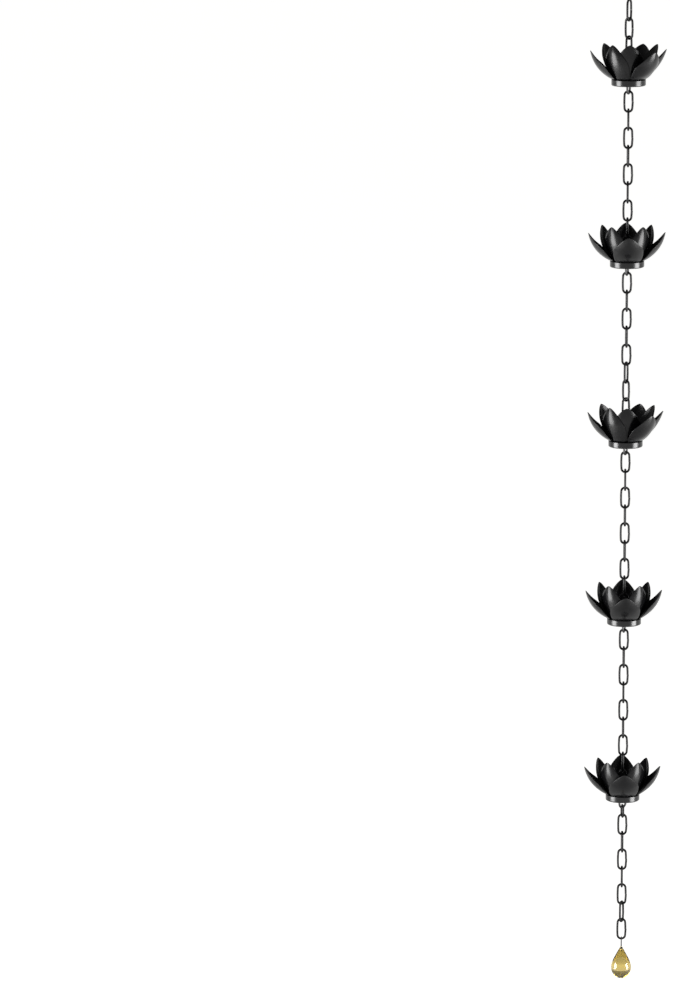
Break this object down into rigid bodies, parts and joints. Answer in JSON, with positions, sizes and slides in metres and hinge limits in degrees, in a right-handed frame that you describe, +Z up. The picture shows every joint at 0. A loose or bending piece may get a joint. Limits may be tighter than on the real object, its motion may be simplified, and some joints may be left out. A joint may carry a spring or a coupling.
{
  "type": "rain chain",
  "caption": "Rain chain of bent wire links with open flower cups that gather and drain rainwater, and a glass drop at its lower end.",
  "frame": {"origin": "the point where the top link rests on its hook, on the inside of its upper bend", "axes": "+Z up along the hanging chain, +X to the right, -Y towards the viewer"},
  "size_m": [0.1229, 0.1072, 1.5404],
  "materials": {
    "metal": "satin black powder coat on steel wire and sheet",
    "glass": "polished amber glass"
  },
  "bodies": {
    "top_link_1": {"top_link_1": "metal"},
    "top_link_2": {"top_link_2": "metal"},
    "cup_1_upper_link": {"cup_1_upper_link": "metal"},
    "cup_1_middle_link": {"cup_1_middle_link": "metal"},
    "cup_1": {"cup_1_frame": "metal", "cup_1_petals": "metal"},
    "run_1_link_1": {"run_1_link_1": "metal"},
    "run_1_link_2": {"run_1_link_2": "metal"},
    "run_1_link_3": {"run_1_link_3": "metal"},
    "run_1_link_4": {"run_1_link_4": "metal"},
    "run_1_link_5": {"run_1_link_5": "metal"},
    "run_1_link_6": {"run_1_link_6": "metal"},
    "run_1_link_7": {"run_1_link_7": "metal"},
    "cup_2_upper_link": {"cup_2_upper_link": "metal"},
    "cup_2_middle_link": {"cup_2_middle_link": "metal"},
    "cup_2": {"cup_2_frame": "metal", "cup_2_petals": "metal"},
    "run_2_link_1": {"run_2_link_1": "metal"},
    "run_2_link_2": {"run_2_link_2": "metal"},
    "run_2_link_3": {"run_2_link_3": "metal"},
    "run_2_link_4": {"run_2_link_4": "metal"},
    "run_2_link_5": {"run_2_link_5": "metal"},
    "run_2_link_6": {"run_2_link_6": "metal"},
    "run_2_link_7": {"run_2_link_7": "metal"},
    "cup_3_upper_link": {"cup_3_upper_link": "metal"},
    "cup_3_middle_link": {"cup_3_middle_link": "metal"},
    "cup_3": {"cup_3_frame": "metal", "cup_3_petals": "metal"},
    "run_3_link_1": {"run_3_link_1": "metal"},
    "run_3_link_2": {"run_3_link_2": "metal"},
    "run_3_link_3": {"run_3_link_3": "metal"},
    "run_3_link_4": {"run_3_link_4": "metal"},
    "run_3_link_5": {"run_3_link_5": "metal"},
    "run_3_link_6": {"run_3_link_6": "metal"},
    "run_3_link_7": {"run_3_link_7": "metal"},
    "cup_4_upper_link": {"cup_4_upper_link": "metal"},
    "cup_4_middle_link": {"cup_4_middle_link": "metal"},
    "cup_4": {"cup_4_frame": "metal", "cup_4_petals": "metal"},
    "run_4_link_1": {"run_4_link_1": "metal"},
    "run_4_link_2": {"run_4_link_2": "metal"},
    "run_4_link_3": {"run_4_link_3": "metal"},
    "run_4_link_4": {"run_4_link_4": "metal"},
    "run_4_link_5": {"run_4_link_5": "metal"},
    "run_4_link_6": {"run_4_link_6": "metal"},
    "run_4_link_7": {"run_4_link_7": "metal"},
    "cup_5_upper_link": {"cup_5_upper_link": "metal"},
    "cup_5_middle_link": {"cup_5_middle_link": "metal"},
    "cup_5": {"cup_5_frame": "metal", "cup_5_petals": "metal"},
    "short_link": {"short_link": "metal"},
    "tail_link_1": {"tail_link_1": "metal"},
    "tail_link_2": {"tail_link_2": "metal"},
    "tail_link_3": {"tail_link_3": "metal"},
    "tail_link_4": {"tail_link_4": "metal"},
    "tail_link_5": {"tail_link_5": "metal"},
    "tail_link_6": {"tail_link_6": "metal"},
    "tail_link_7": {"tail_link_7": "metal"},
    "drop_bail": {"drop_bail": "metal"},
    "glass_drop": {"glass_drop": "glass"}
  },
  "joints": [
    {"name": "top_link_2_swing", "type": "hinge", "parent": "top_link_1", "child": "top_link_2", "pos_m": [0, 0, -0.03], "axis": [-0.5, -0.866, 0], "range_deg": [-75, 75]},
    {"name": "cup_1_upper_link_swing", "type": "hinge", "parent": "top_link_2", "child": "cup_1_upper_link", "pos_m": [0, 0, -0.058], "axis": [-0.809, 0.5878, 0], "range_deg": [-60, 60]},
    {"name": "cup_1_middle_link_swing", "type": "hinge", "parent": "cup_1_upper_link", "child": "cup_1_middle_link", "pos_m": [0, 0, -0.086], "axis": [0.6691, 0.7431, 0], "range_deg": [-40, 40]},
    {"name": "cup_1_swing", "type": "hinge", "parent": "cup_1_middle_link", "child": "cup_1", "pos_m": [0, 0, -0.114], "axis": [0.788, -0.6157, 0], "range_deg": [-25, 25]},
    {"name": "run_1_link_1_swing", "type": "hinge", "parent": "cup_1", "child": "run_1_link_1", "pos_m": [0, 0, -0.142], "axis": [0.3746, 0.9272, 0], "range_deg": [-75, 75]},
    {"name": "run_1_link_2_swing", "type": "hinge", "parent": "run_1_link_1", "child": "run_1_link_2", "pos_m": [0, 0, -0.17], "axis": [-1, 0, 0], "range_deg": [-75, 75]},
    {"name": "run_1_link_3_swing", "type": "hinge", "parent": "run_1_link_2", "child": "run_1_link_3", "pos_m": [0, 0, -0.198], "axis": [-0.0349, -0.9994, 0], "range_deg": [-75, 75]},
    {"name": "run_1_link_4_swing", "type": "hinge", "parent": "run_1_link_3", "child": "run_1_link_4", "pos_m": [0, 0, -0.226], "axis": [0.9986, -0.0523, 0], "range_deg": [-75, 75]},
    {"name": "run_1_link_5_swing", "type": "hinge", "parent": "run_1_link_4", "child": "run_1_link_5", "pos_m": [0, 0, -0.254], "axis": [-0.0349, 0.9994, 0], "range_deg": [-75, 75]},
    {"name": "run_1_link_6_swing", "type": "hinge", "parent": "run_1_link_5", "child": "run_1_link_6", "pos_m": [0, 0, -0.282], "axis": [-0.9994, -0.0349, 0], "range_deg": [-75, 75]},
    {"name": "run_1_link_7_swing", "type": "hinge", "parent": "run_1_link_6", "child": "run_1_link_7", "pos_m": [0, 0, -0.31], "axis": [-0.0698, -0.9976, 0], "range_deg": [-75, 75]},
    {"name": "cup_2_upper_link_swing", "type": "hinge", "parent": "run_1_link_7", "child": "cup_2_upper_link", "pos_m": [0, 0, -0.338], "axis": [0.9994, -0.0349, 0], "range_deg": [-60, 60]},
    {"name": "cup_2_middle_link_swing", "type": "hinge", "parent": "cup_2_upper_link", "child": "cup_2_middle_link", "pos_m": [0, 0, -0.366], "axis": [0, 1, 0], "range_deg": [-40, 40]},
    {"name": "cup_2_swing", "type": "hinge", "parent": "cup_2_middle_link", "child": "cup_2", "pos_m": [0, 0, -0.394], "axis": [-0.9994, -0.0349, 0], "range_deg": [-25, 25]},
    {"name": "run_2_link_1_swing", "type": "hinge", "parent": "cup_2", "child": "run_2_link_1", "pos_m": [0, 0, -0.422], "axis": [-0.309, -0.9511, 0], "range_deg": [-75, 75]},
    {"name": "run_2_link_2_swing", "type": "hinge", "parent": "run_2_link_1", "child": "run_2_link_2", "pos_m": [0, 0, -0.45], "axis": [0.9998, 0.0175, 0], "range_deg": [-75, 75]},
    {"name": "run_2_link_3_swing", "type": "hinge", "parent": "run_2_link_2", "child": "run_2_link_3", "pos_m": [0, 0, -0.478], "axis": [0, 1, 0], "range_deg": [-75, 75]},
    {"name": "run_2_link_4_swing", "type": "hinge", "parent": "run_2_link_3", "child": "run_2_link_4", "pos_m": [0, 0, -0.506], "axis": [-0.9994, 0.0349, 0], "range_deg": [-75, 75]},
    {"name": "run_2_link_5_swing", "type": "hinge", "parent": "run_2_link_4", "child": "run_2_link_5", "pos_m": [0, 0, -0.534], "axis": [0.0523, -0.9986, 0], "range_deg": [-75, 75]},
    {"name": "run_2_link_6_swing", "type": "hinge", "parent": "run_2_link_5", "child": "run_2_link_6", "pos_m": [0, 0, -0.562], "axis": [0.9998, 0.0175, 0], "range_deg": [-50, 50]},
    {"name": "run_2_link_7_swing", "type": "hinge", "parent": "run_2_link_6", "child": "run_2_link_7", "pos_m": [0, 0, -0.59], "axis": [0.4067, 0.9135, 0], "range_deg": [-75, 75]},
    {"name": "cup_3_upper_link_swing", "type": "hinge", "parent": "run_2_link_7", "child": "cup_3_upper_link", "pos_m": [0, 0, -0.618], "axis": [-0.682, 0.7314, 0], "range_deg": [-60, 60]},
    {"name": "cup_3_middle_link_swing", "type": "hinge", "parent": "cup_3_upper_link", "child": "cup_3_middle_link", "pos_m": [0, 0, -0.646], "axis": [-0.809, -0.5878, 0], "range_deg": [-40, 40]},
    {"name": "cup_3_swing", "type": "hinge", "parent": "cup_3_middle_link", "child": "cup_3", "pos_m": [0, 0, -0.674], "axis": [0.7071, -0.7071, 0], "range_deg": [-25, 25]},
    {"name": "run_3_link_1_swing", "type": "hinge", "parent": "cup_3", "child": "run_3_link_1", "pos_m": [0, 0, -0.702], "axis": [-0.3907, -0.9205, 0], "range_deg": [-75, 75]},
    {"name": "run_3_link_2_swing", "type": "hinge", "parent": "run_3_link_1", "child": "run_3_link_2", "pos_m": [0, 0, -0.73], "axis": [0.9994, -0.0349, 0], "range_deg": [-75, 75]},
    {"name": "run_3_link_3_swing", "type": "hinge", "parent": "run_3_link_2", "child": "run_3_link_3", "pos_m": [0, 0, -0.758], "axis": [0.0523, 0.9986, 0], "range_deg": [-75, 75]},
    {"name": "run_3_link_4_swing", "type": "hinge", "parent": "run_3_link_3", "child": "run_3_link_4", "pos_m": [0, 0, -0.786], "axis": [-0.9986, -0.0523, 0], "range_deg": [-75, 75]},
    {"name": "run_3_link_5_swing", "type": "hinge", "parent": "run_3_link_4", "child": "run_3_link_5", "pos_m": [0, 0, -0.814], "axis": [0, -1, 0], "range_deg": [-75, 75]},
    {"name": "run_3_link_6_swing", "type": "hinge", "parent": "run_3_link_5", "child": "run_3_link_6", "pos_m": [0, 0, -0.842], "axis": [0.9998, -0.0175, 0], "range_deg": [-75, 75]},
    {"name": "run_3_link_7_swing", "type": "hinge", "parent": "run_3_link_6", "child": "run_3_link_7", "pos_m": [0, 0, -0.87], "axis": [-0.0349, 0.9994, 0], "range_deg": [-75, 75]},
    {"name": "cup_4_upper_link_swing", "type": "hinge", "parent": "run_3_link_7", "child": "cup_4_upper_link", "pos_m": [0, 0, -0.898], "axis": [0.9998, 0.0175, 0], "range_deg": [-60, 60]},
    {"name": "cup_4_middle_link_swing", "type": "hinge", "parent": "cup_4_upper_link", "child": "cup_4_middle_link", "pos_m": [0, 0, -0.926], "axis": [0.0175, -0.9998, 0], "range_deg": [-40, 40]},
    {"name": "cup_4_swing", "type": "hinge", "parent": "cup_4_middle_link", "child": "cup_4", "pos_m": [0, 0, -0.954], "axis": [-0.9994, 0.0349, 0], "range_deg": [-25, 25]},
    {"name": "run_4_link_1_swing", "type": "hinge", "parent": "cup_4", "child": "run_4_link_1", "pos_m": [0, 0, -0.982], "axis": [-0.309, -0.9511, 0], "range_deg": [-75, 75]},
    {"name": "run_4_link_2_swing", "type": "hinge", "parent": "run_4_link_1", "child": "run_4_link_2", "pos_m": [0, 0, -1.01], "axis": [-0.9994, -0.0349, 0], "range_deg": [-75, 75]},
    {"name": "run_4_link_3_swing", "type": "hinge", "parent": "run_4_link_2", "child": "run_4_link_3", "pos_m": [0, 0, -1.038], "axis": [-0.0175, 0.9998, 0], "range_deg": [-75, 75]},
    {"name": "run_4_link_4_swing", "type": "hinge", "parent": "run_4_link_3", "child": "run_4_link_4", "pos_m": [0, 0, -1.066], "axis": [0.9986, -0.0523, 0], "range_deg": [-75, 75]},
    {"name": "run_4_link_5_swing", "type": "hinge", "parent": "run_4_link_4", "child": "run_4_link_5", "pos_m": [0, 0, -1.094], "axis": [-0.0349, -0.9994, 0], "range_deg": [-75, 75]},
    {"name": "run_4_link_6_swing", "type": "hinge", "parent": "run_4_link_5", "child": "run_4_link_6", "pos_m": [0, 0, -1.122], "axis": [-0.9998, -0.0175, 0], "range_deg": [-75, 75]},
    {"name": "run_4_link_7_swing", "type": "hinge", "parent": "run_4_link_6", "child": "run_4_link_7", "pos_m": [0, 0, -1.15], "axis": [0, 1, 0], "range_deg": [-75, 75]},
    {"name": "cup_5_upper_link_swing", "type": "hinge", "parent": "run_4_link_7", "child": "cup_5_upper_link", "pos_m": [0, 0, -1.178], "axis": [0.9994, -0.0349, 0], "range_deg": [-60, 60]},
    {"name": "cup_5_middle_link_swing", "type": "hinge", "parent": "cup_5_upper_link", "child": "cup_5_middle_link", "pos_m": [0, 0, -1.206], "axis": [-0.1045, -0.9945, 0], "range_deg": [-40, 40]},
    {"name": "cup_5_swing", "type": "hinge", "parent": "cup_5_middle_link", "child": "cup_5", "pos_m": [0, 0, -1.234], "axis": [-0.8829, 0.4695, 0], "range_deg": [-25, 25]},
    {"name": "short_link_swing", "type": "hinge", "parent": "cup_5", "child": "short_link", "pos_m": [0, 0, -1.262], "axis": [-0.809, -0.5878, 0], "range_deg": [-45, 45]},
    {"name": "tail_link_1_swing", "type": "hinge", "parent": "short_link", "child": "tail_link_1", "pos_m": [0, 0, -1.277], "axis": [-0.1736, 0.9848, 0], "range_deg": [-75, 75]},
    {"name": "tail_link_2_swing", "type": "hinge", "parent": "tail_link_1", "child": "tail_link_2", "pos_m": [0, 0, -1.305], "axis": [0.9998, 0.0175, 0], "range_deg": [-75, 75]},
    {"name": "tail_link_3_swing", "type": "hinge", "parent": "tail_link_2", "child": "tail_link_3", "pos_m": [0, 0, -1.333], "axis": [0.0349, -0.9994, 0], "range_deg": [-75, 75]},
    {"name": "tail_link_4_swing", "type": "hinge", "parent": "tail_link_3", "child": "tail_link_4", "pos_m": [0, 0, -1.361], "axis": [-0.9994, 0.0349, 0], "range_deg": [-75, 75]},
    {"name": "tail_link_5_swing", "type": "hinge", "parent": "tail_link_4", "child": "tail_link_5", "pos_m": [0, 0, -1.389], "axis": [0.0349, 0.9994, 0], "range_deg": [-75, 75]},
    {"name": "tail_link_6_swing", "type": "hinge", "parent": "tail_link_5", "child": "tail_link_6", "pos_m": [0, 0, -1.417], "axis": [0.9976, -0.0698, 0], "range_deg": [-75, 75]},
    {"name": "tail_link_7_swing", "type": "hinge", "parent": "tail_link_6", "child": "tail_link_7", "pos_m": [0, 0, -1.445], "axis": [-0.4384, -0.8988, 0], "range_deg": [-75, 75]},
    {"name": "drop_bail_swing", "type": "hinge", "parent": "tail_link_7", "child": "drop_bail", "pos_m": [0, 0, -1.473], "axis": [0.9986, -0.0523, 0], "range_deg": [-75, 75]},
    {"name": "glass_drop_swing", "type": "hinge", "parent": "drop_bail", "child": "glass_drop", "pos_m": [0, 0, -1.491], "axis": [0, 1, 0], "range_deg": [-75, 75]}
  ]
}
